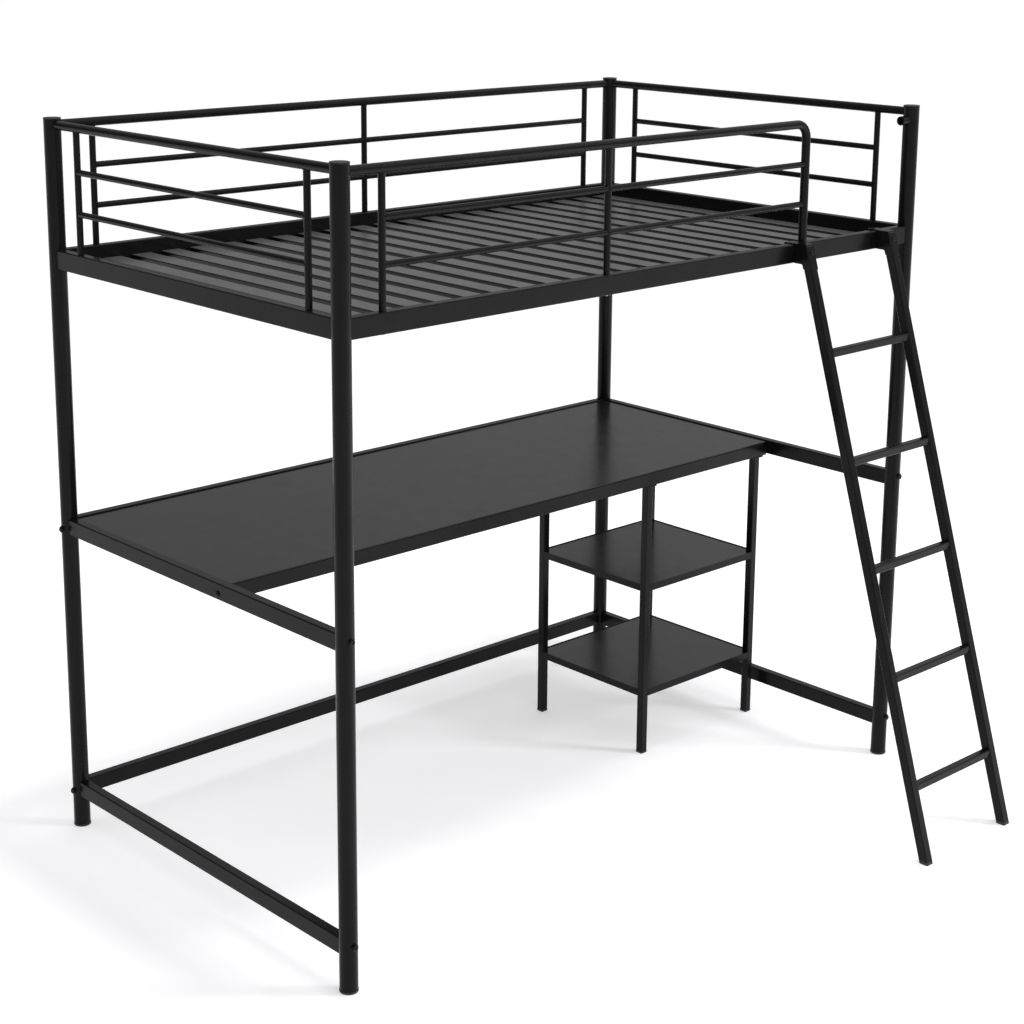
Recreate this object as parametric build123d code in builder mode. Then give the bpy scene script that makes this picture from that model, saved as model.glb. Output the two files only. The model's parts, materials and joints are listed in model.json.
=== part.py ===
from build123d import *

import os
from math import cos, radians, sin, tan

# Loft bed with a desk and a shelf unit below it and a ladder that hooks over the front side rail.
# Millimetres, +Z up. The origin is on the floor under the middle of the whole object, the ladder
# is at the front (-Y) and the desk at the back (+Y).

# Posts
post_spacing_x = 1910.0
post_spacing_y = 1110.0
bed_y = 241.2  # the bed's middle lies behind the origin, because the ladder reaches forward
post_radius = 21.0
post_wall = 1.5
overall_height = 1829.0
cap_height = 3.0
cap_overhang = 0.7
foot_height = 6.0
plug_length = 18.0

# Rectangular rails: width, corner radius and wall are shared
rail_width = 25.0
rail_corner = 3.0
rail_wall = 1.5
end_plate = 4.0
bed_rail_height = 47.0
bed_rail_top = 1510.0
side_height = 40.0
desk_rail_top = 830.0
lower_rail_top = 125.0

# Hook lugs of the bed rails, measured from a post's axis
lug_thickness = 3.0
lug_depth = 29.0
lug_tip = 12.0
lug_top = 1496.0
lug_neck_bottom = 1478.0
lug_nose_bottom = 1470.0
slot_width = 4.0
slot_top = 1505.0
lug_gap = 0.5

# Slats and their ledges
slat_count = 22
slat_pitch = 85.7
slat_width = 54.0
slat_height = 12.0
slat_sheet = 1.2
slat_corner = 2.5
slat_gap = 3.0
angle_sheet = 2.0
ledge_length = 1860.0
ledge_flange = 25.0
ledge_leg = 15.0

# Guards
guard_radius = 11.0
guard_wall = 1.2
guard_z = 1812.0
front_guard_z = 1808.0
bend_radius = 36.0
upright_radius = 8.0
bar_radius = 7.5
bar_levels = (1607.0, 1707.0)
end_upright_y = 447.0
back_upright_x = 847.0
front_upright_x = (-847.0, -185.0)
entry_x = 520.0
insert_length = 20.0
spigot_length = 30.0
spigot_clearance = 0.4
socket_radius = 12.0
socket_bore = 8.25
socket_length = 25.0
socket_depth = 22.0
socket_z = 1790.0

# Desk
desk_front_offset = -105.0
desk_front_rail_height = 38.0
board_thickness = 15.0
board_recess = 3.5
board_lip = 3.0
board_gap = 1.5
desk_flange = 20.0
desk_ledge_reach = 918.0

# Shelf unit
leg_size = 22.0
leg_corner = 2.5
leg_x = (455.0, 905.0)
leg_back_offset = 300.0
leg_foot_height = 6.0
leg_plate_thickness = 3.0
leg_plate_long = 50.0
leg_plate_short = 30.0
shelf_tops = (500.0, 190.0)
shelf_bar_height = 20.0
shelf_flange = 12.0
shelf_board = 16.0
shelf_recess = 2.0
shelf_gap = 1.0

# Ladder
stile_size = 25.0
stile_corner = 3.0
stile_x = (490.5, 828.5)
ladder_lean = 17.0
ladder_reach = 498.0
stile_bottom = 8.0
stile_top = 1508.0
rung_size = 20.0
rung_count = 5
first_rung = 184.0
rung_pitch = 265.0
hook_sheet = 2.5
hook_clearance = 0.3
hook_side_clearance = 0.5
hook_lip = 8.0
hook_lip_bottom = 1482.0
hook_heel = 1463.0
hook_tongue = 1451.0
hook_corner = 6.0
hook_bolt_z = 1488.0

# Fasteners: shank radius, head radius, head height and length
post_bolt = (4.0, 7.0, 4.4, 60.0)
guard_screw = (3.0, 5.2, 3.0, 62.0)
hook_bolt = (3.0, 5.5, 3.3, 36.0)
desk_bolt = (4.0, 7.0, 4.4, 45.0)
board_screw = (2.0, 4.0, 2.4, 12.0)
bolt_clearance = 0.25
bolt_shift = 7.0
washer_radius = 9.0
washer_thickness = 2.5
nut_radius = 6.5
nut_height = 6.5
hook_nut_radius = 5.0
hook_nut_height = 5.0

# Places that follow from the driving dimensions
left_x = -post_spacing_x / 2
right_x = post_spacing_x / 2
front_y = bed_y - post_spacing_y / 2
back_y = bed_y + post_spacing_y / 2
desk_front_y = bed_y + desk_front_offset
leg_y = (desk_front_y, bed_y + leg_back_offset)
bed_rail_z = bed_rail_top - bed_rail_height / 2
bed_rail_bottom = bed_rail_top - bed_rail_height
desk_rail_z = desk_rail_top - side_height / 2
lower_rail_z = lower_rail_top - side_height / 2
post_top = overall_height - cap_height
post_bore = post_radius - post_wall
half_rail = rail_width / 2
board_top = desk_rail_top - board_recess
board_bottom = board_top - board_thickness
front_rail_top = board_top - board_lip
front_rail_bottom = front_rail_top - desk_front_rail_height
front_rail_z = (front_rail_top + front_rail_bottom) / 2
foot_axis_y = front_y - ladder_reach
lean = radians(ladder_lean)

x_way = Vector(1, 0, 0)
y_way = Vector(0, 1, 0)
z_way = Vector(0, 0, 1)
post_places = {
    "front_left": (left_x, front_y),
    "front_right": (right_x, front_y),
    "back_left": (left_x, back_y),
    "back_right": (right_x, back_y),
}


def square_plane(way, point):
    """A plane square to a level direction, with its own Y axis pointing up."""
    return Plane(origin=point, x_dir=(-way.Y, way.X, 0), z_dir=way)


def upright_plane(way, point):
    """An upright plane whose own X axis runs along the level direction and whose Y axis is up."""
    return Plane(origin=point, x_dir=way, z_dir=way.cross(z_way))


def inward_ways(x, y):
    """The two level directions from a corner post towards its neighbours."""
    return (x_way * (-1 if x > 0 else 1), y_way * (-1 if y > bed_y else 1))


def cut_posts():
    """Cope the part being made to the four round posts."""
    with Locations(*post_places.values()):
        Cylinder(
            post_radius,
            overall_height,
            align=(Align.CENTER, Align.CENTER, Align.MIN),
            mode=Mode.SUBTRACT,
        )


def add_box(low, high, mode=Mode.ADD):
    """Add or cut a box given by its low and high corners."""
    middle = tuple((a + b) / 2 for a, b in zip(low, high))
    with Locations(middle):
        Box(*[b - a for a, b in zip(low, high)], mode=mode)


def button_bolt(size):
    """A button-head bolt on the Z axis: the head sits on the XY plane and the shank hangs below."""
    shank, head, head_height, length = size
    with BuildPart() as bolt:
        with BuildSketch(Plane.XY):
            Circle(head)
        extrude(amount=head_height)
        fillet(bolt.edges().group_by(Axis.Z)[-1], head_height * 0.7)
        with BuildSketch(Plane.XY.offset(head_height)):
            RegularPolygon(shank * 0.62, 6)
        extrude(amount=-head_height * 0.6, mode=Mode.SUBTRACT)
        with BuildSketch(Plane.XY):
            Circle(shank)
        extrude(amount=-length)
    return bolt.part


def save(builder, name):
    """Label a finished piece and write it under its node's name."""
    builder.part.label = name
    export_step(builder.part, f"parts/{name}.step")


def post_bolt_seats():
    """Every bolted joint of a post with a rail: the post's place, the inward way and the height."""
    seats = []
    for x, y in post_places.values():
        way_x, way_y = inward_ways(x, y)
        for level in (desk_rail_z, lower_rail_z):
            seats.append((x, y, way_y, level + bolt_shift))
            if y > bed_y:
                seats.append((x, y, way_x, level - bolt_shift))
    return seats


def make_post(name, x, y):
    """A round post with holes for its bolts and slots for the bed rails' hook lugs."""
    with BuildPart() as post:
        with BuildSketch(Plane.XY.offset(foot_height)):
            with Locations((x, y)):
                Circle(post_radius)
                Circle(post_bore, mode=Mode.SUBTRACT)
        extrude(amount=post_top - foot_height)
        for seat_x, seat_y, way, z in post_bolt_seats():
            if (seat_x, seat_y) == (x, y):
                with BuildSketch(square_plane(way, (x, y, z))):
                    Circle(post_bolt[0] + bolt_clearance)
                extrude(amount=2 * post_radius, both=True, mode=Mode.SUBTRACT)
        for way in inward_ways(x, y):
            with BuildSketch(square_plane(way, (x, y, (slot_top + lug_neck_bottom) / 2))):
                Rectangle(slot_width, slot_top - lug_neck_bottom)
            extrude(amount=2 * post_radius, mode=Mode.SUBTRACT)
    save(post, f"post_{name}")


def make_post_ends():
    """The cap on top of each post and the foot under it, both with a plug inside the tube."""
    with BuildPart() as caps:
        with BuildSketch(Plane.XY.offset(post_top)):
            with Locations(*post_places.values()):
                Circle(post_radius + cap_overhang)
        extrude(amount=cap_height)
        fillet(caps.edges().group_by(Axis.Z)[-1], cap_height * 0.75)
        with BuildSketch(Plane.XY.offset(post_top)):
            with Locations(*post_places.values()):
                Circle(post_bore)
        extrude(amount=-plug_length)
    save(caps, "post_top_caps")
    with BuildPart() as feet:
        with BuildSketch(Plane.XY):
            with Locations(*post_places.values()):
                Circle(post_radius + cap_overhang)
        extrude(amount=foot_height)
        fillet(feet.edges().group_by(Axis.Z)[0], foot_height / 3)
        with BuildSketch(Plane.XY.offset(foot_height)):
            with Locations(*post_places.values()):
                Circle(post_bore)
        extrude(amount=plug_length)
    save(feet, "post_feet")


def coped_rail(way, x, y, z, height, bolt_z=None):
    """A rectangular tube from the post at x, y to the next one, with closed ends coped to both."""
    length = post_spacing_x if way == x_way else post_spacing_y
    inset = post_radius + end_plate
    start = Vector(x, y, z)
    with BuildPart() as rail:
        with BuildSketch(square_plane(way, start)):
            RectangleRounded(rail_width, height, rail_corner)
        extrude(amount=length)
        with BuildSketch(square_plane(way, start + way * inset)):
            RectangleRounded(
                rail_width - 2 * rail_wall, height - 2 * rail_wall, rail_corner - rail_wall
            )
        extrude(amount=length - 2 * inset, mode=Mode.SUBTRACT)
        if bolt_z is not None:
            with BuildSketch(square_plane(way, (x, y, bolt_z))):
                Circle(post_bolt[0] + bolt_clearance)
            extrude(amount=length, mode=Mode.SUBTRACT)
        cut_posts()
    return rail.part


def make_bed_rail(name, way, x, y, screw_places):
    """A bed rail, with slots for its lugs and upright holes for the guard screws."""
    length = post_spacing_x if way == x_way else post_spacing_y
    lug_z = (lug_top + lug_neck_bottom) / 2
    with BuildPart() as rail:
        add(coped_rail(way, x, y, bed_rail_z, bed_rail_height))
        with BuildSketch(square_plane(way, (x, y, lug_z))):
            Rectangle(lug_thickness, lug_top - lug_neck_bottom)
        extrude(amount=length, mode=Mode.SUBTRACT)
        with BuildSketch(Plane.XY.offset(bed_rail_bottom)):
            with Locations(*screw_places):
                Circle(guard_screw[0] + bolt_clearance)
        extrude(amount=bed_rail_height, mode=Mode.SUBTRACT)
    save(rail, name)


def upright_places():
    """The places of the guard uprights that stand on each bed rail."""
    ends = [bed_y - end_upright_y, bed_y + end_upright_y]
    return {
        "front": [(x, front_y) for x in front_upright_x],
        "back": [(x, back_y) for x in (-back_upright_x, 0, back_upright_x)],
        "left": [(left_x, y) for y in ends],
        "right": [(right_x, y) for y in ends],
    }


def make_bed_frame():
    """Four bed rails and the lugs that hang them in the posts."""
    places = upright_places()
    entry_place = (entry_x, front_y)
    make_bed_rail("side_rail_front", x_way, left_x, front_y, [*places["front"], entry_place])
    make_bed_rail("side_rail_back", x_way, left_x, back_y, places["back"])
    make_bed_rail("end_rail_left", y_way, left_x, front_y, places["left"])
    make_bed_rail("end_rail_right", y_way, right_x, front_y, places["right"])
    inner_wall = post_bore - lug_gap
    with BuildPart() as lugs:
        for x, y in post_places.values():
            for way in inward_ways(x, y):
                with BuildSketch(upright_plane(way, (x, y, 0))):
                    with BuildLine():
                        Polyline(
                            (lug_depth, lug_top),
                            (lug_tip, lug_top),
                            (lug_tip, lug_nose_bottom),
                            (inner_wall, lug_nose_bottom),
                            (inner_wall, lug_neck_bottom),
                            (lug_depth, lug_neck_bottom),
                            close=True,
                        )
                    make_face()
                extrude(amount=lug_thickness / 2, both=True)
    save(lugs, "bed_rail_lugs")


def make_slats():
    """The ledges inside the side rails and the folded sheet slats that lie across them."""
    inner_front = front_y + half_rail
    inner_back = back_y - half_rail
    seat = bed_rail_bottom + angle_sheet
    half = ledge_length / 2
    with BuildPart() as ledges:
        for face, way in ((inner_front, 1), (inner_back, -1)):
            leg = sorted((face, face + way * angle_sheet))
            flange = sorted((face, face + way * ledge_flange))
            add_box((-half, leg[0], bed_rail_bottom), (half, leg[1], bed_rail_bottom + ledge_leg))
            add_box((-half, flange[0], bed_rail_bottom), (half, flange[1], seat))
    save(ledges, "slat_ledges")
    length = inner_back - inner_front - 2 * slat_gap
    middle_z = seat + slat_height / 2
    with BuildPart() as slats:
        with BuildSketch(Plane.XZ.offset(-(inner_front + slat_gap))) as outline:
            with Locations((0, middle_z)):
                with GridLocations(slat_pitch, 0, slat_count, 1):
                    Rectangle(slat_width, slat_height)
            fillet(outline.vertices().group_by(Axis.Y)[-1], slat_corner)
            with Locations((0, middle_z - slat_sheet / 2)):
                with GridLocations(slat_pitch, 0, slat_count, 1):
                    Rectangle(
                        slat_width - 2 * slat_sheet, slat_height - slat_sheet, mode=Mode.SUBTRACT
                    )
        extrude(amount=-length)
    save(slats, "slats")


def round_run(way, start, length, radius, wall):
    """A straight round tube from a point along a level direction."""
    with BuildPart() as run:
        with BuildSketch(square_plane(way, start)):
            Circle(radius)
            Circle(radius - wall, mode=Mode.SUBTRACT)
        extrude(amount=length)
    return run.part


def make_guard_top_rail(name, way, x, y):
    """A straight guard top rail, coped to the posts at its ends."""
    length = post_spacing_x if way == x_way else post_spacing_y
    with BuildPart() as rail:
        add(round_run(way, (x, y, guard_z), length, guard_radius, guard_wall))
        cut_posts()
    save(rail, f"{name}_guard_top_rail")


def make_front_guard_tube():
    """The bent tube of the front guard: along the top, round the bend and down to the side rail."""
    with BuildPart() as tube:
        with BuildLine():
            FilletPolyline(
                (left_x, front_y, front_guard_z),
                (entry_x, front_y, front_guard_z),
                (entry_x, front_y, bed_rail_top),
                radius=bend_radius,
            )
        with BuildSketch(square_plane(x_way, (left_x, front_y, front_guard_z))):
            Circle(guard_radius)
            Circle(guard_radius - guard_wall, mode=Mode.SUBTRACT)
        sweep()
        cut_posts()
    save(tube, "front_guard_bent_tube")


def make_guard_uprights(name, way, places, top_z):
    """The round uprights between a bed rail and the guard's top rail, coped to its underside."""
    with BuildPart() as uprights:
        with BuildSketch(Plane.XY.offset(bed_rail_top)):
            with Locations(*places):
                Circle(upright_radius)
                Circle(upright_radius - guard_wall, mode=Mode.SUBTRACT)
        extrude(amount=top_z - bed_rail_top)
        x, y = places[0]
        with BuildSketch(square_plane(way, (x, y, top_z))):
            Circle(guard_radius)
        extrude(amount=post_spacing_x, both=True, mode=Mode.SUBTRACT)
    save(uprights, f"{name}_guard_uprights")


def make_guard_bars(name, way, places, end_radius):
    """Two levels of round bars between neighbouring uprights, coped to them."""
    with BuildPart() as bars:
        for (x0, y0), (x1, y1) in zip(places, places[1:]):
            length = (x1 - x0) + (y1 - y0)
            for level in bar_levels:
                add(round_run(way, (x0, y0, level), length, bar_radius, guard_wall))
        for place, radius in zip(places, [upright_radius] * (len(places) - 1) + [end_radius]):
            with BuildSketch(Plane.XY.offset(bed_rail_top)):
                with Locations(place):
                    Circle(radius)
            extrude(amount=guard_z - bed_rail_top, mode=Mode.SUBTRACT)
    save(bars, f"{name}_guard_bars")


def make_guard_fittings():
    """Spigots inside the top rails, inserts in the feet of the uprights and their screws."""
    spigot = guard_radius - guard_wall - spigot_clearance
    with BuildPart() as spigots:
        for x, y in post_places.values():
            for way in inward_ways(x, y):
                in_front = way.X != 0 and y < bed_y
                if in_front and x > 0:
                    continue
                z = front_guard_z if in_front else guard_z
                add(round_run(way, (x, y, z), post_radius + spigot_length, spigot, post_wall))
        cut_posts()
    save(spigots, "guard_spigots")
    plain = [place for group in upright_places().values() for place in group]
    entry = (entry_x, front_y)
    with BuildPart() as inserts:
        with BuildSketch(Plane.XY.offset(bed_rail_top)):
            with Locations(*plain):
                Circle(upright_radius - guard_wall)
            with Locations(entry):
                Circle(guard_radius - guard_wall)
            with Locations(*plain, entry):
                Circle(guard_screw[0], mode=Mode.SUBTRACT)
        extrude(amount=insert_length)
    save(inserts, "upright_inserts")
    screw = button_bolt(guard_screw)
    with BuildPart() as screws:
        for x, y in [*plain, entry]:
            with Locations(Plane(origin=(x, y, bed_rail_bottom), z_dir=-z_way)):
                add(screw)
    save(screws, "guard_screws")


def make_spare_socket():
    """A short socket on the right front post, open towards the bed."""
    reach = post_radius + socket_length
    with BuildPart() as socket:
        with BuildSketch(square_plane(-x_way, (right_x, front_y, socket_z))):
            Circle(socket_radius)
        extrude(amount=reach)
        with BuildSketch(square_plane(x_way, (right_x - reach, front_y, socket_z))):
            Circle(socket_bore)
        extrude(amount=socket_depth, mode=Mode.SUBTRACT)
        cut_posts()
    save(socket, "guard_spare_socket")


def make_guards():
    """The guard rails on all four sides."""
    places = upright_places()
    make_guard_top_rail("left", y_way, left_x, front_y)
    make_guard_top_rail("right", y_way, right_x, front_y)
    make_guard_top_rail("back", x_way, left_x, back_y)
    make_front_guard_tube()
    for name, way in (("left", y_way), ("right", y_way), ("back", x_way)):
        make_guard_uprights(name, way, places[name], guard_z)
        make_guard_bars(name, way, places[name], upright_radius)
    make_guard_uprights("front", x_way, places["front"], front_guard_z)
    make_guard_bars("front", x_way, [*places["front"], (entry_x, front_y)], guard_radius)
    make_guard_fittings()
    make_spare_socket()


def make_desk_side_rail(name, x):
    """A left or right desk rail, with a hole for the bolt into the front desk rail."""
    with BuildPart() as rail:
        add(coped_rail(y_way, x, front_y, desk_rail_z, side_height, desk_rail_z + bolt_shift))
        with BuildSketch(square_plane(x_way, (x, desk_front_y, front_rail_z))):
            Circle(desk_bolt[0] + bolt_clearance)
        extrude(amount=rail_width, both=True, mode=Mode.SUBTRACT)
    save(rail, f"desk_rail_{name}")


def make_desk_front_rail():
    """The desk's front rail, butted between the side rails, with closed ends."""
    span = post_spacing_x - rail_width
    inner = span - 2 * end_plate
    with BuildPart() as rail:
        with BuildSketch(square_plane(x_way, (-span / 2, desk_front_y, front_rail_z))):
            RectangleRounded(rail_width, desk_front_rail_height, rail_corner)
        extrude(amount=span)
        with BuildSketch(square_plane(x_way, (-inner / 2, desk_front_y, front_rail_z))):
            RectangleRounded(
                rail_width - 2 * rail_wall,
                desk_front_rail_height - 2 * rail_wall,
                rail_corner - rail_wall,
            )
        extrude(amount=inner, mode=Mode.SUBTRACT)
        with BuildSketch(square_plane(x_way, (-span / 2, desk_front_y, front_rail_z))):
            Circle(desk_bolt[0] + bolt_clearance)
        extrude(amount=span, mode=Mode.SUBTRACT)
        with BuildSketch(Plane.XY.offset(front_rail_bottom)):
            with Locations(*leg_screw_places(leg_y[0])):
                Circle(board_screw[0])
        extrude(amount=board_screw[3], mode=Mode.SUBTRACT)
    save(rail, "desk_rail_front")


def leg_screw_places(y):
    """Two screws in the top plate of each shelf leg of one row."""
    step = leg_plate_long / 2 - 7
    if y == leg_y[0]:
        return [(x + side * step, y) for x in leg_x for side in (-1, 1)]
    return [(x, y + side * step) for x in leg_x for side in (-1, 1)]


def desk_ledge_screw_places():
    """Screws through the desk ledges' flanges into the board."""
    side = post_spacing_x / 2 - half_rail - desk_flange * 0.6
    back = back_y - half_rail - desk_flange * 0.6
    sides = [(x, bed_y + y) for x in (-side, side) for y in (0, 400)]
    return sides + [(x, back) for x in (-700, 0, 700)]


def make_desk_board():
    """The desk board between the rails, rabbeted so that a thin lip covers the front rail."""
    half = post_spacing_x / 2 - half_rail - board_gap
    front = desk_front_y - half_rail
    body = desk_front_y + half_rail + board_gap / 2
    back = back_y - half_rail - board_gap
    with BuildPart() as board:
        add_box((-half, front, board_top - board_lip), (half, back, board_top))
        add_box((-half, body, board_bottom), (half, back, board_top))
        with BuildSketch(Plane.XY.offset(board_bottom)):
            with Locations(*post_places.values()):
                Circle(post_radius + board_gap)
        extrude(amount=board_thickness, mode=Mode.SUBTRACT)
        with BuildSketch(Plane.XY.offset(board_bottom - angle_sheet)):
            with Locations(*desk_ledge_screw_places()):
                Circle(board_screw[0])
        extrude(amount=board_screw[3], mode=Mode.SUBTRACT)
        with BuildSketch(Plane.XY.offset(board_bottom - leg_plate_thickness)):
            with Locations(*leg_screw_places(leg_y[1])):
                Circle(board_screw[0])
        extrude(amount=board_screw[3], mode=Mode.SUBTRACT)
    save(board, "desk_panel")


def make_desk_ledges():
    """Angle ledges on the left, right and back desk rails that carry the board."""
    outer_x = post_spacing_x / 2 - half_rail
    outer_y = back_y - half_rail
    start = desk_front_y + rail_width
    end = back_y - post_radius - rail_width
    seat = board_bottom - angle_sheet
    low = board_bottom - desk_flange
    with BuildPart() as ledges:
        for way in (-1, 1):
            leg = sorted((way * outer_x, way * (outer_x - angle_sheet)))
            flange = sorted((way * outer_x, way * (outer_x - desk_flange)))
            add_box((leg[0], start, low), (leg[1], end, board_bottom))
            add_box((flange[0], start, seat), (flange[1], end, board_bottom))
        reach = desk_ledge_reach
        add_box((-reach, outer_y - angle_sheet, low), (reach, outer_y, board_bottom))
        add_box((-reach, outer_y - desk_flange, seat), (reach, outer_y, board_bottom))
        with BuildSketch(Plane.XY.offset(seat)):
            with Locations(*desk_ledge_screw_places()):
                Circle(board_screw[0] + bolt_clearance)
        extrude(amount=angle_sheet, mode=Mode.SUBTRACT)
    save(ledges, "desk_ledges")


def make_desk():
    """Desk rails, board and ledges, and the lower rails near the floor."""
    make_desk_side_rail("left", left_x)
    make_desk_side_rail("right", right_x)
    back_bolt = desk_rail_z - bolt_shift
    with BuildPart() as rail:
        add(coped_rail(x_way, left_x, back_y, desk_rail_z, side_height, back_bolt))
    save(rail, "desk_rail_back")
    make_desk_front_rail()
    make_desk_board()
    make_desk_ledges()
    for name, way, x, y, shift in (
        ("left", y_way, left_x, front_y, bolt_shift),
        ("right", y_way, right_x, front_y, bolt_shift),
        ("back", x_way, left_x, back_y, -bolt_shift),
    ):
        with BuildPart() as lower:
            add(coped_rail(way, x, y, lower_rail_z, side_height, lower_rail_z + shift))
        save(lower, f"lower_rail_{name}")


def make_shelf_legs():
    """Four square legs with their top plates and plastic feet."""
    inner = leg_size - 2 * rail_wall
    tops = {leg_y[0]: front_rail_bottom, leg_y[1]: board_bottom}
    with BuildPart() as legs:
        for y, top in tops.items():
            with BuildSketch(Plane.XY.offset(leg_foot_height)):
                with Locations(*[(x, y) for x in leg_x]):
                    RectangleRounded(leg_size, leg_size, leg_corner)
                    RectangleRounded(inner, inner, leg_corner - rail_wall, mode=Mode.SUBTRACT)
            extrude(amount=top - leg_plate_thickness - leg_foot_height)
    save(legs, "shelf_legs")
    with BuildPart() as plates:
        for y, top in tops.items():
            along_x = y == leg_y[0]
            size_x = leg_plate_long if along_x else leg_plate_short
            size_y = rail_width if along_x else leg_plate_long
            with BuildSketch(Plane.XY.offset(top - leg_plate_thickness)):
                with Locations(*[(x, y) for x in leg_x]):
                    RectangleRounded(size_x, size_y, leg_corner)
                with Locations(*leg_screw_places(y)):
                    Circle(board_screw[0] + bolt_clearance, mode=Mode.SUBTRACT)
            extrude(amount=leg_plate_thickness)
    save(plates, "shelf_leg_plates")
    places = [(x, y) for x in leg_x for y in leg_y]
    with BuildPart() as feet:
        with BuildSketch(Plane.XY):
            with Locations(*places):
                RectangleRounded(leg_size + 1, leg_size + 1, leg_corner)
        extrude(amount=leg_foot_height)
        fillet(feet.edges().group_by(Axis.Z)[0], 1.5)
        with BuildSketch(Plane.XY.offset(leg_foot_height)):
            with Locations(*places):
                RectangleRounded(inner, inner, leg_corner - rail_wall)
        extrude(amount=plug_length)
    save(feet, "shelf_feet")


def shelf_screw_places():
    """One screw in the middle of each side of a shelf frame."""
    middle_x = sum(leg_x) / 2
    middle_y = sum(leg_y) / 2
    inset = leg_size / 2 - shelf_flange * 0.6
    across = [(x, middle_y) for x in (leg_x[0] - inset, leg_x[1] + inset)]
    return across + [(middle_x, y) for y in (leg_y[0] - inset, leg_y[1] + inset)]


def make_shelf(name, top):
    """An edge frame of four angle bars between the legs and the board that lies in it."""
    half = leg_size / 2
    low = top - shelf_bar_height
    seat = low + angle_sheet
    x0, x1 = leg_x
    y0, y1 = leg_y
    with BuildPart() as frame:
        for face, way in ((y0 - half, 1), (y1 + half, -1)):
            web = sorted((face, face + way * angle_sheet))
            flange = sorted((face, face + way * shelf_flange))
            add_box((x0 + half, web[0], low), (x1 - half, web[1], top))
            add_box((x0 + half, flange[0], low), (x1 - half, flange[1], seat))
        for face, way in ((x0 - half, 1), (x1 + half, -1)):
            web = sorted((face, face + way * angle_sheet))
            flange = sorted((face, face + way * shelf_flange))
            add_box((web[0], y0 + half, low), (web[1], y1 - half, top))
            add_box((flange[0], y0 + half, low), (flange[1], y1 - half, seat))
        with BuildSketch(Plane.XY.offset(low)):
            with Locations(*shelf_screw_places()):
                Circle(board_screw[0] + bolt_clearance)
        extrude(amount=angle_sheet, mode=Mode.SUBTRACT)
    save(frame, f"{name}_shelf_frame")
    edge = half - angle_sheet - shelf_gap
    board_z = top - shelf_recess - shelf_board
    with BuildPart() as board:
        add_box((x0 - edge, y0 - edge, board_z), (x1 + edge, y1 + edge, board_z + shelf_board))
        with BuildSketch(Plane.XY.offset(board_z)):
            with Locations(*[(x, y) for x in leg_x for y in leg_y]):
                Rectangle(leg_size + 2 * shelf_gap, leg_size + 2 * shelf_gap)
        extrude(amount=shelf_board, mode=Mode.SUBTRACT)
        with BuildSketch(Plane.XY.offset(low)):
            with Locations(*shelf_screw_places()):
                Circle(board_screw[0])
        extrude(amount=board_screw[3], mode=Mode.SUBTRACT)
    save(board, f"{name}_shelf_panel")


def make_post_fasteners():
    """The bolts through the posts, their saddle washers and the nuts inside the rail ends."""
    head_at = post_radius + washer_thickness
    nut_at = post_radius + end_plate
    bolt = button_bolt(post_bolt)
    with BuildPart() as bolts:
        for x, y, way, z in post_bolt_seats():
            with Locations(Plane(origin=Vector(x, y, z) - way * head_at, z_dir=-way)):
                add(bolt)
    save(bolts, "post_bolts")
    with BuildPart() as washers:
        for x, y, way, z in post_bolt_seats():
            with BuildSketch(square_plane(-way, Vector(x, y, z) - way * post_bore)):
                Circle(washer_radius)
                Circle(post_bolt[0] + bolt_clearance, mode=Mode.SUBTRACT)
            extrude(amount=head_at - post_bore)
        cut_posts()
    save(washers, "saddle_washers")
    with BuildPart() as nuts:
        for x, y, way, z in post_bolt_seats():
            with BuildSketch(square_plane(way, Vector(x, y, z) + way * nut_at)):
                RegularPolygon(nut_radius, 6, major_radius=False)
                Circle(post_bolt[0], mode=Mode.SUBTRACT)
            extrude(amount=nut_height)
    save(nuts, "rail_nuts")


def make_desk_fasteners():
    """Bolts from the desk's side rails into the front rail, with nuts behind its end plates."""
    bolt = button_bolt(desk_bolt)
    outer = post_spacing_x / 2 + half_rail
    nut_at = post_spacing_x / 2 - half_rail - end_plate
    with BuildPart() as bolts:
        for way in (-1, 1):
            head = Plane(origin=(way * outer, desk_front_y, front_rail_z), z_dir=x_way * way)
            with Locations(head):
                add(bolt)
    save(bolts, "desk_rail_bolts")
    with BuildPart() as nuts:
        for way in (-1, 1):
            start = (way * nut_at, desk_front_y, front_rail_z)
            with BuildSketch(square_plane(x_way * -way, start)):
                RegularPolygon(nut_radius, 6, major_radius=False)
                Circle(desk_bolt[0], mode=Mode.SUBTRACT)
            extrude(amount=nut_height)
    save(nuts, "desk_rail_nuts")


def make_board_screws():
    """Screws that hold the desk board, the shelf legs and the shelf boards, all driven upwards."""
    screw = button_bolt(board_screw)
    seats = [(*place, board_bottom - angle_sheet) for place in desk_ledge_screw_places()]
    seats += [(*place, board_bottom - leg_plate_thickness) for place in leg_screw_places(leg_y[1])]
    seats += [
        (*place, front_rail_bottom - leg_plate_thickness) for place in leg_screw_places(leg_y[0])
    ]
    seats += [(*place, top - shelf_bar_height) for top in shelf_tops for place in shelf_screw_places()]
    with BuildPart() as screws:
        for seat in seats:
            with Locations(Plane(origin=seat, z_dir=-z_way)):
                add(screw)
    save(screws, "panel_screws")


def stile_axis(z):
    """How far back the stiles' axis lies at a height."""
    return foot_axis_y + z * tan(lean)


def stile_plane(x, z=0.0):
    """The plane square to a stile where its axis is at a height."""
    return Plane(origin=(x, stile_axis(z), z), x_dir=x_way, z_dir=(0, sin(lean), cos(lean)))


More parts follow.
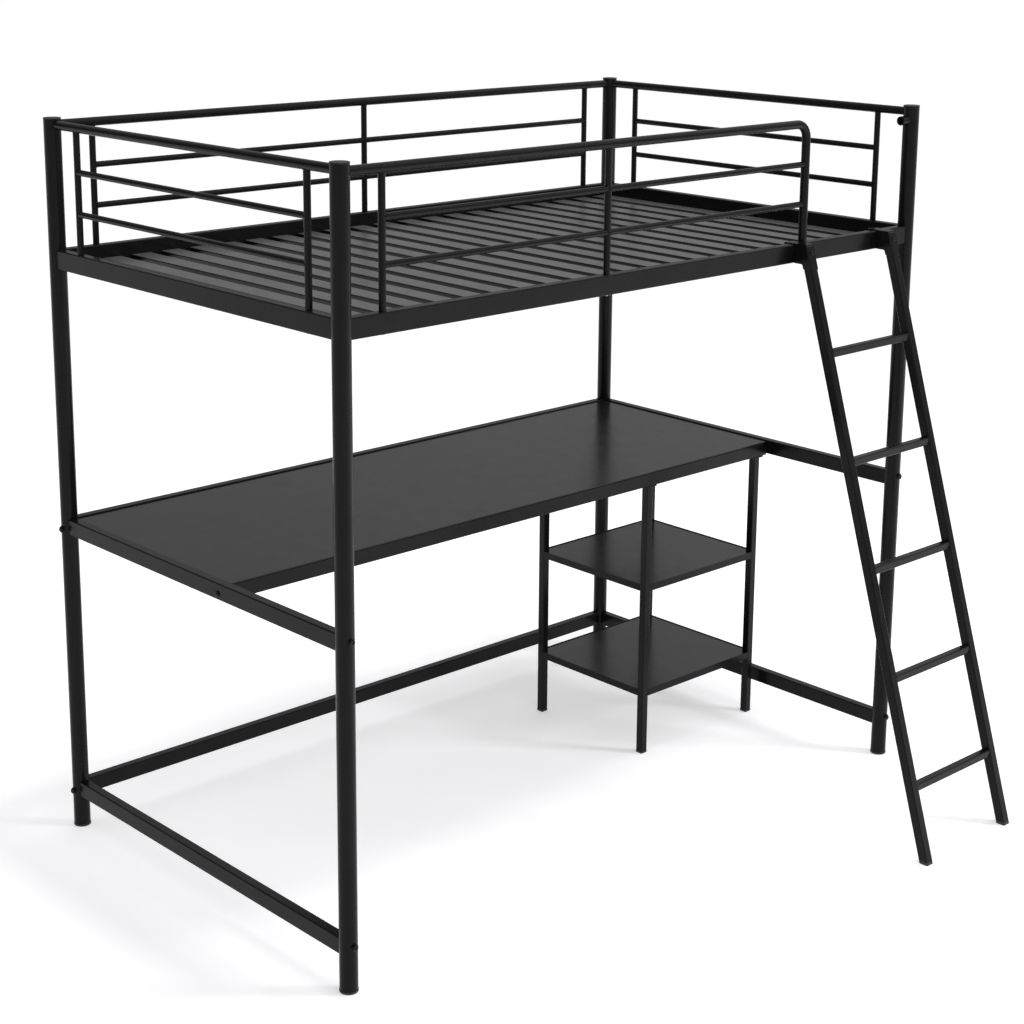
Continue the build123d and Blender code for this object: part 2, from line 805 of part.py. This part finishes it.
def stile_prism(x, size, corner, low, high):
    """A rounded square prism along a stile's axis, cut level at its two ends."""
    along = (high - low) / cos(lean)
    with BuildPart() as prism:
        with BuildSketch(stile_plane(x, low).offset(-size)):
            RectangleRounded(size, size, corner)
        extrude(amount=along + 2 * size)
        split(bisect_by=Plane.XY.offset(low), keep=Keep.TOP)
        split(bisect_by=Plane.XY.offset(high), keep=Keep.BOTTOM)
    return prism.part


def hook_bolt_plane(x):
    """The plane on a stile's front face where the hook bolt's head sits."""
    back = Vector(0, cos(lean), -sin(lean))
    seat = Vector(x, stile_axis(hook_bolt_z), hook_bolt_z) - back * (stile_size / 2)
    return Plane(origin=seat, x_dir=x_way, z_dir=-back)


def make_stile(name, x):
    """A square ladder stile with the cross hole for its hook bolt."""
    inner = stile_size - 2 * rail_wall
    with BuildPart() as stile:
        add(stile_prism(x, stile_size, stile_corner, stile_bottom, stile_top))
        bore = stile_prism(x, inner, stile_corner - rail_wall, stile_bottom, stile_top)
        add(bore, mode=Mode.SUBTRACT)
        with BuildSketch(hook_bolt_plane(x)):
            Circle(hook_bolt[0] + bolt_clearance)
        extrude(amount=-stile_size, mode=Mode.SUBTRACT)
    save(stile, f"ladder_stile_{name}")


def make_rungs():
    """Five square rungs between the stiles, level like treads."""
    x0 = stile_x[0] + stile_size / 2
    x1 = stile_x[1] - stile_size / 2
    inner = rung_size - 2 * rail_wall
    with BuildPart() as rungs:
        for index in range(rung_count):
            z = first_rung + index * rung_pitch
            seat = (x0, stile_axis(z), z)
            with BuildSketch(Plane(origin=seat, x_dir=y_way, z_dir=x_way)):
                RectangleRounded(rung_size, rung_size, stile_corner)
                RectangleRounded(inner, inner, stile_corner - rail_wall, mode=Mode.SUBTRACT)
            extrude(amount=x1 - x0)
    save(rungs, "ladder_rungs")


def make_hook(name, x):
    """A folded bracket: two cheeks hooked over the side rail, a web on top and one behind the stile."""
    rail_front = front_y - half_rail - hook_side_clearance
    rail_back = front_y + half_rail + hook_side_clearance
    ceiling = bed_rail_top + hook_clearance
    top = ceiling + hook_sheet
    front = stile_size / 2 / cos(lean) - 1
    half = stile_size / 2
    with BuildPart() as hook:
        with BuildSketch(square_plane(x_way, (x - half - hook_sheet, 0, 0))) as cheek:
            with BuildLine():
                Polyline(
                    (stile_axis(top) - front, top),
                    (rail_back + hook_lip, top),
                    (rail_back + hook_lip, hook_lip_bottom),
                    (rail_back, hook_lip_bottom),
                    (rail_back, ceiling),
                    (rail_front, ceiling),
                    (rail_front, hook_heel),
                    (stile_axis(hook_heel) + front, hook_heel),
                    (stile_axis(hook_tongue) + front, hook_tongue),
                    (stile_axis(hook_tongue) - front, hook_tongue),
                    close=True,
                )
            make_face()
            heel = cheek.vertices().sort_by_distance((stile_axis(hook_heel) + front, hook_heel))[0]
            fillet(heel, hook_corner)
            fillet(cheek.vertices().sort_by_distance((rail_front, hook_heel))[0], hook_sheet)
            fillet(cheek.vertices().group_by(Axis.X)[-1], hook_sheet)
        extrude(amount=stile_size + 2 * hook_sheet)
        low = (x - half, stile_axis(hook_tongue) - stile_size, hook_tongue - stile_size)
        add_box(low, (x + half, rail_back + 2 * hook_lip, ceiling), mode=Mode.SUBTRACT)
        with BuildSketch(stile_plane(x, hook_bolt_z).offset(-half)):
            with Locations((0, half + hook_sheet / 2)):
                Rectangle(stile_size, hook_sheet)
        extrude(amount=stile_size)
        with BuildSketch(hook_bolt_plane(x)):
            Circle(hook_bolt[0] + bolt_clearance)
        extrude(amount=-2 * stile_size, mode=Mode.SUBTRACT)
    save(hook, f"ladder_hook_{name}")


def make_ladder_fittings():
    """Feet and caps of the stiles, and the bolts and nuts of the hook brackets."""
    inner = stile_size - 2 * rail_wall
    with BuildPart() as feet:
        for x in stile_x:
            add(stile_prism(x, stile_size, stile_corner, 0, stile_bottom))
        fillet(feet.edges().group_by(Axis.Z)[0], 2.0)
        for x in stile_x:
            top = stile_bottom + plug_length
            add(stile_prism(x, inner, stile_corner - rail_wall, stile_bottom, top))
    save(feet, "ladder_feet")
    with BuildPart() as caps:
        for x in stile_x:
            cap_top = bed_rail_top + hook_clearance
            add(stile_prism(x, stile_size, stile_corner, stile_top, cap_top))
            plug = stile_top - plug_length * 0.7
            add(stile_prism(x, inner, stile_corner - rail_wall, plug, stile_top))
    save(caps, "ladder_stile_caps")
    bolt = button_bolt(hook_bolt)
    with BuildPart() as bolts:
        with Locations(*[hook_bolt_plane(x) for x in stile_x]):
            add(bolt)
    save(bolts, "ladder_hook_bolts")
    with BuildPart() as nuts:
        for x in stile_x:
            with BuildSketch(hook_bolt_plane(x).offset(-stile_size - hook_sheet)):
                RegularPolygon(hook_nut_radius, 6, major_radius=False)
                Circle(hook_bolt[0], mode=Mode.SUBTRACT)
            extrude(amount=-hook_nut_height)
    save(nuts, "ladder_hook_nuts")


os.makedirs("parts", exist_ok=True)
for post_name, (post_x, post_y) in post_places.items():
    make_post(post_name, post_x, post_y)
make_post_ends()
make_bed_frame()
make_slats()
make_guards()
make_desk()
make_shelf_legs()
make_shelf("upper", shelf_tops[0])
make_shelf("lower", shelf_tops[1])
make_post_fasteners()
make_desk_fasteners()
make_board_screws()
for side, side_x in zip(("left", "right"), stile_x):
    make_stile(side, side_x)
    make_hook(side, side_x)
make_rungs()
make_ladder_fittings()
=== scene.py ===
import json
from collections import namedtuple
from math import cos, pi, sin, sqrt
from random import Random

import bmesh
import bpy
from mathutils import Matrix, Vector


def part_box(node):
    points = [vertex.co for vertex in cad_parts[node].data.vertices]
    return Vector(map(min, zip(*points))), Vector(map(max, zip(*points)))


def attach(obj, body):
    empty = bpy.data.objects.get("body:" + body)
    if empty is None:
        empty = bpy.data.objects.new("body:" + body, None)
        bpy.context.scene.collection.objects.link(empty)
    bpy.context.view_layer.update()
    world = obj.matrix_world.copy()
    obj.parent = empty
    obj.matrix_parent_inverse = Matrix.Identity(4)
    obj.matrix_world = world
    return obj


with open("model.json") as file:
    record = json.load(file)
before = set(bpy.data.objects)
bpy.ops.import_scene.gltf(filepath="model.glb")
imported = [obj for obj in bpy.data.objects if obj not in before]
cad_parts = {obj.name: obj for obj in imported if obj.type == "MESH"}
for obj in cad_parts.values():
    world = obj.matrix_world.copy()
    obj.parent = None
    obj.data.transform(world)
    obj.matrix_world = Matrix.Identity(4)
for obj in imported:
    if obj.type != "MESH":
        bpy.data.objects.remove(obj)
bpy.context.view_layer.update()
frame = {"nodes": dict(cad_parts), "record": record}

# Loft bed with a desk, a shelf unit and a hook-on ladder, in metres.

# ---------------------------------------------------------------- materials

noise_middle = (0.3, 0.7)  # most of a noise texture's values lie between these
painted_sheen_rise = (0.6, 0.98)  # a normal's height, from where the painted top sheen starts to where it is full

Grain = namedtuple("Grain", "scale detail strength depth")
orange_peel = Grain(scale=900.0, detail=2.0, strength=0.06, depth=0.0002)
moulded_grain = Grain(scale=2600.0, detail=1.0, strength=0.25, depth=0.0003)
brushed_grain = Grain(scale=3000.0, detail=2.0, strength=0.15, depth=0.0002)
film_grain = Grain(scale=160.0, detail=2.0, strength=0.012, depth=0.0002)


def map_range(tree, value, source, target):
    """The value mapped from a source range to a target range."""
    ramp = tree.nodes.new("ShaderNodeMapRange")
    for socket, number in zip(("From Min", "From Max", "To Min", "To Max"), (*source, *target)):
        ramp.inputs[socket].default_value = number
    tree.links.new(value, ramp.inputs["Value"])
    return ramp.outputs["Result"]


class Nodes:
    """A new material's node tree, with short ways to add and link its nodes."""

    def __init__(self, name):
        self.material = bpy.data.materials.new(name)
        self.material.use_nodes = True
        self.tree = self.material.node_tree
        self.shader = self.tree.nodes["Principled BSDF"]
        coordinates = self.tree.nodes.new("ShaderNodeTexCoord")
        self.place = coordinates.outputs["Object"]

    def link(self, output, target):
        self.tree.links.new(output, target)

    def set(self, socket, value):
        self.shader.inputs[socket].default_value = value

    def noise(self, scale, detail=3.0, stretch=None):
        """A noise texture's value, in metres of the object, stretched along an axis if asked."""
        texture = self.tree.nodes.new("ShaderNodeTexNoise")
        texture.inputs["Scale"].default_value = scale
        texture.inputs["Detail"].default_value = detail
        source = self.place
        if stretch is not None:
            mapping = self.tree.nodes.new("ShaderNodeMapping")
            mapping.inputs["Scale"].default_value = stretch
            self.link(source, mapping.inputs["Vector"])
            source = mapping.outputs["Vector"]
        self.link(source, texture.inputs["Vector"])
        return texture.outputs["Fac"]

    def spread(self, value, low, high):
        """A noise's value mapped from its middle range to the range from low to high."""
        return map_range(self.tree, value, noise_middle, (low, high))

    def blend(self, factor, colour_a, colour_b, target):
        """A mix of two colours by a factor, into a socket."""
        mix = self.tree.nodes.new("ShaderNodeMix")
        mix.data_type = "RGBA"
        mix.inputs["A"].default_value = (*colour_a, 1)
        mix.inputs["B"].default_value = (*colour_b, 1)
        self.link(factor, mix.inputs["Factor"])
        self.link(mix.outputs["Result"], target)
        return mix

    def gloss(self, scale, rough, stray):
        """A roughness that strays a little either way over the surface."""
        roughness = self.spread(self.noise(scale), rough - stray, rough + stray)
        self.link(roughness, self.shader.inputs["Roughness"])

    def bump(self, grain, stretch=None):
        """A fine relief from a grain."""
        bump = self.tree.nodes.new("ShaderNodeBump")
        bump.inputs["Strength"].default_value = grain.strength
        bump.inputs["Distance"].default_value = grain.depth
        self.link(self.noise(grain.scale, grain.detail, stretch), bump.inputs["Height"])
        self.link(bump.outputs["Normal"], self.shader.inputs["Normal"])


def finish(name, dark, light, tone_scale, rough, stray, gloss_scale, grain, specular=0.5, metallic=0.0):
    """A finish with faint tone changes, uneven gloss and a fine grain."""
    n = Nodes(name)
    n.blend(n.spread(n.noise(tone_scale), 0, 1), dark, light, n.shader.inputs["Base Color"])
    n.gloss(gloss_scale, rough, stray)
    n.set("Specular IOR Level", specular)
    n.set("Metallic", metallic)
    n.bump(grain)
    return n.material


def slat_coat(name, side, painted_top_dark, painted_top_light):
    """Powder coat on the slats, with a painted sheen: faces that look up are painted a lighter grey than
    the dark sides.
    """
    n = Nodes(name)
    geometry = n.tree.nodes.new("ShaderNodeNewGeometry")
    split = n.tree.nodes.new("ShaderNodeSeparateXYZ")
    n.link(geometry.outputs["Normal"], split.inputs["Vector"])
    # painted sheen: the more a face looks up, the lighter grey it is painted, standing in for the light
    # the tops catch
    painted_sheen_mask = map_range(n.tree, split.outputs["Z"], painted_sheen_rise, (0, 1))
    painted_top_sheen = n.blend(painted_sheen_mask, side, painted_top_dark, n.shader.inputs["Base Color"])
    n.blend(n.spread(n.noise(12.0), 0, 1), painted_top_dark, painted_top_light, painted_top_sheen.inputs["B"])
    n.gloss(scale=35.0, rough=0.3, stray=0.03)
    n.set("Specular IOR Level", 0.3)
    n.bump(orange_peel)
    return n.material


def board_film(name, dark, light):
    """A dark foil-faced board: long faint streaks and a satin sheen."""
    n = Nodes(name)
    streaks = n.noise(14.0, detail=5.0, stretch=(0.6, 9.0, 9.0))
    n.blend(n.spread(streaks, 0, 1), dark, light, n.shader.inputs["Base Color"])
    n.gloss(scale=22.0, rough=0.24, stray=0.03)
    n.set("Specular IOR Level", 0.22)
    n.bump(film_grain, stretch=(0.25, 1.0, 1.0))
    return n.material


def grey(value):
    """A grey, very slightly blue."""
    return (value, value, value * 1.03)


materials = {
    "black_steel": finish(
        "black_powder_coat", grey(0.004), grey(0.006), tone_scale=9.0,
        rough=0.25, stray=0.04, gloss_scale=35.0, grain=orange_peel, specular=0.13,
    ),
    # the two lighter greys are the painted sheen on the slats' tops; the first grey is the dark coat on
    # their sides
    "slat_steel": slat_coat("slat_powder_coat", grey(0.004), grey(0.055), grey(0.070)),
    "black_plastic": finish(
        "black_plastic", grey(0.007), grey(0.010), tone_scale=60.0,
        rough=0.5, stray=0.05, gloss_scale=120.0, grain=moulded_grain,
    ),
    "dark_board": board_film("dark_board_film", grey(0.0085), grey(0.0105)),
    "black_fasteners": finish(
        "blackened_steel", grey(0.02), grey(0.035), tone_scale=300.0,
        rough=0.42, stray=0.08, gloss_scale=500.0, grain=brushed_grain, metallic=1.0,
    ),
    "zinc_fasteners": finish(
        "zinc_plate", grey(0.42), grey(0.5), tone_scale=300.0,
        rough=0.35, stray=0.08, gloss_scale=500.0, grain=brushed_grain, metallic=1.0,
    ),
}

for part in frame["record"]["subparts"]:
    cad_object = frame["nodes"][part["node"]]
    cad_object.data.materials.clear()
    cad_object.data.materials.append(materials[part["material_slot"]])

# ---------------------------------------------------------------- welds

guard_tube_radius = 0.011
upright_radius = 0.008
bar_radius = 0.0075
rung_size = 0.020
rung_count = 5
rung_pitch = 0.265
bead = 0.0013
bead_sides = 6
bead_waver = (0.8, 1.15)
weld_seed = 7
saddle_steps = 24
square_steps = 28
squareness = 6  # how nearly square the rounded loop is
steep = 0.8  # a line that rises more than this is turned about X and not about Z
x_way = Vector((1, 0, 0))
y_way = Vector((0, 1, 0))
z_way = Vector((0, 0, 1))


def saddle(seat, along, across, radius, crossed):
    """The closed line where a round bar from seat, running along, meets a crossed round tube.

    Seat is on the crossed tube's axis, and across is square to that axis and to the bar."""
    other = along.cross(across)
    points = []
    for step in range(saddle_steps):
        angle = 2 * pi * step / saddle_steps
        offset = radius * cos(angle)
        reach = sqrt(max(crossed**2 - offset**2, 0.0))
        points.append(seat + across * offset + other * (radius * sin(angle)) + along * reach)
    return points


def square_loop(centre, side_a, side_b, half):
    """A rounded square line round a square bar."""
    points = []
    for step in range(square_steps):
        angle = 2 * pi * (step + 0.5) / square_steps
        a, b = cos(angle), sin(angle)
        reach = half / (abs(a) ** squareness + abs(b) ** squareness) ** (1 / squareness)
        points.append(centre + side_a * (a * reach) + side_b * (b * reach))
    return points


def add_bead(shape, points, chance):
    """A weld bead along a closed line: a thin rope whose thickness wavers from point to point."""
    count = len(points)
    rings = []
    for index, point in enumerate(points):
        ahead = (points[(index + 1) % count] - points[index - 1]).normalized()
        out = ahead.cross(z_way if abs(ahead.z) < steep else x_way).normalized()
        side = ahead.cross(out)
        size = bead * chance.uniform(*bead_waver)
        turns = [2 * pi * turn / bead_sides for turn in range(bead_sides)]
        rings.append([shape.verts.new(point + size * (cos(t) * out + sin(t) * side)) for t in turns])
    for index, ring in enumerate(rings):
        after = rings[(index + 1) % count]
        for turn in range(bead_sides):
            beyond = (turn + 1) % bead_sides
            shape.faces.new((ring[turn], ring[beyond], after[beyond], after[turn]))


def weld_piece(name, body, loops):
    """All the beads of one body as one piece in the frame's own finish."""
    chance = Random(weld_seed)
    shape = bmesh.new()
    for points in loops:
        add_bead(shape, points, chance)
    bmesh.ops.recalc_face_normals(shape, faces=shape.faces)
    for face in shape.faces:
        face.smooth = True
    mesh = bpy.data.meshes.new(name)
    shape.to_mesh(mesh)
    shape.free()
    mesh.materials.append(materials["black_steel"])
    piece = bpy.data.objects.new(name, mesh)
    bpy.context.scene.collection.objects.link(piece)
    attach(piece, body)


def guard_crossings(side, axis):
    """Where a side's upright tubes stand along it, each with its radius."""
    low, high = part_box(f"{side}_guard_uprights")
    first = low.dot(axis) + upright_radius
    last = high.dot(axis) - upright_radius
    if side == "back":
        return [(first, upright_radius), ((first + last) / 2, upright_radius), (last, upright_radius)]
    if side == "front":
        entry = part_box("front_guard_bent_tube")[1].dot(axis) - guard_tube_radius
        return [(first, upright_radius), (last, upright_radius), (entry, guard_tube_radius)]
    return [(first, upright_radius), (last, upright_radius)]


def guard_loops(side, axis, across, top_node):
    """The lines of a side's welds: its bars' ends on the uprights, and the uprights' tops on the rail."""
    bars_low, bars_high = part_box(f"{side}_guard_bars")
    line = across * ((bars_low + bars_high) / 2).dot(across)
    crossings = guard_crossings(side, axis)
    loops = []
    for z in (bars_low.z + bar_radius, bars_high.z - bar_radius):
        for (start, start_radius), (end, end_radius) in zip(crossings, crossings[1:]):
            for place, way, crossed in ((start, 1, start_radius), (end, -1, end_radius)):
                seat = axis * place + line + z_way * z
                loops.append(saddle(seat, axis * way, across, bar_radius, crossed))
    rail_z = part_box(top_node)[1].z - guard_tube_radius
    for place, radius in crossings:
        if radius == upright_radius:
            seat = axis * place + line + z_way * rail_z
            loops.append(saddle(seat, -z_way, across, upright_radius, guard_tube_radius))
    return loops


def rung_loops():
    """The lines of the welds round both ends of every rung."""
    low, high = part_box("ladder_rungs")
    margin = (high.z - low.z - (rung_count - 1) * rung_pitch) / 2
    first = low + Vector((0, margin, margin))
    last = high - Vector((0, margin, margin))
    loops = []
    for index in range(rung_count):
        middle = first.lerp(last, index / (rung_count - 1))
        for x in (low.x, high.x):
            centre = Vector((x, middle.y, middle.z))
            loops.append(square_loop(centre, y_way, z_way, rung_size / 2))
    return loops


weld_piece(
    "guard_welds",
    "bed",
    guard_loops("left", y_way, x_way, "left_guard_top_rail")
    + guard_loops("right", y_way, x_way, "right_guard_top_rail")
    + guard_loops("back", x_way, y_way, "back_guard_top_rail")
    + guard_loops("front", x_way, y_way, "front_guard_bent_tube"),
)
weld_piece("rung_welds", "ladder", rung_loops())

# ---------------------------------------------------------------- stage

floor_radius = 60.0
floor_sides = 96
floor_glow = 0.44  # lifts the floor to near white
bright_side = (0.73, -0.68, 0.0)  # the way to the room's brighter side
side_strength = (0.35, 1.7)  # from the darker side to the brighter one
low_to_high = (0.12, 0.5)  # a direction's height, from the dim low room to the bright high one
height_strength = (0.27, 0.95)


def make_floor():
    """A plain pale floor, much larger than the object."""
    n = Nodes("pale_floor")
    n.blend(n.spread(n.noise(0.6), 0, 1), grey(0.78), grey(0.80), n.shader.inputs["Base Color"])
    n.set("Roughness", 0.9)
    n.set("Specular IOR Level", 0.0)
    n.set("Emission Color", (1, 1, 1, 1))
    n.set("Emission Strength", floor_glow)
    mesh = bpy.data.meshes.new("floor")
    shape = bmesh.new()
    bmesh.ops.create_circle(shape, cap_ends=True, segments=floor_sides, radius=floor_radius)
    shape.to_mesh(mesh)
    shape.free()
    floor = bpy.data.objects.new("floor", mesh)
    bpy.context.scene.collection.objects.link(floor)
    mesh.materials.append(n.material)


def make_world():
    """White behind the object, and a soft room round it for what it reflects."""
    world = bpy.data.worlds.new("studio")
    bpy.context.scene.world = world
    world.use_nodes = True
    tree = world.node_tree
    tree.nodes.clear()
    new = tree.nodes.new
    link = tree.links.new
    output = new("ShaderNodeOutputWorld")
    white = new("ShaderNodeBackground")
    room = new("ShaderNodeBackground")
    path = new("ShaderNodeLightPath")
    choose = new("ShaderNodeMixShader")
    place = new("ShaderNodeTexCoord")
    split = new("ShaderNodeSeparateXYZ")
    side = new("ShaderNodeVectorMath")
    side.operation = "DOT_PRODUCT"
    side.inputs[1].default_value = bright_side
    product = new("ShaderNodeMath")
    product.operation = "MULTIPLY"
    white.inputs["Color"].default_value = (1, 1, 1, 1)
    link(place.outputs["Generated"], split.inputs["Vector"])
    link(place.outputs["Generated"], side.inputs[0])
    link(map_range(tree, side.outputs["Value"], (-1, 1), side_strength), product.inputs[0])
    link(map_range(tree, split.outputs["Z"], low_to_high, height_strength), product.inputs[1])
    link(product.outputs["Value"], room.inputs["Strength"])
    link(path.outputs["Is Camera Ray"], choose.inputs["Fac"])
    link(room.outputs["Background"], choose.inputs[1])
    link(white.outputs["Background"], choose.inputs[2])
    link(choose.outputs["Shader"], output.inputs["Surface"])


def softbox(name, place, target, size, power):
    """A soft area light that faces a target point and isn't mirrored in the glossy faces."""
    data = bpy.data.lights.new(name, "AREA")
    data.shape = "RECTANGLE"
    data.size, data.size_y = size
    data.energy = power
    light = bpy.data.objects.new(name, data)
    bpy.context.scene.collection.objects.link(light)
    light.location = place
    light.rotation_euler = (Vector(target) - Vector(place)).to_track_quat("-Z", "Y").to_euler()
    light.visible_glossy = False


def make_camera():
    """The camera at the photograph's viewing angle."""
    focal = 69.99
    place = Vector((-3.4081, -3.4469, 2.3179))
    yaw, pitch, roll = 0.75177, 0.22598, 0.00809
    ahead = Vector((sin(yaw) * cos(pitch), cos(yaw) * cos(pitch), -sin(pitch)))
    right = Vector((cos(yaw), -sin(yaw), 0))
    up = right.cross(ahead)
    tilted_right = cos(roll) * right + sin(roll) * up
    tilted_up = -sin(roll) * right + cos(roll) * up
    camera = bpy.data.objects.new("camera", bpy.data.cameras.new("camera"))
    bpy.context.scene.collection.objects.link(camera)
    camera.data.lens = focal
    camera.data.sensor_width = 36.0
    camera.data.shift_y = -0.1396
    axes = Matrix((tilted_right, tilted_up, -ahead)).transposed()
    camera.matrix_world = Matrix.Translation(place) @ axes.to_4x4()
    bpy.context.scene.camera = camera


make_floor()
make_world()
softbox("overhead", (0.0, 0.2, 4.4), (0.0, 0.2, 0.0), (1.2, 0.6), 70)
softbox("front_right", (4.6, -5.2, 2.9), (0.3, -0.4, 1.2), (1.3, 1.3), 260)
make_camera()
bpy.context.scene.view_settings.view_transform = "Standard"
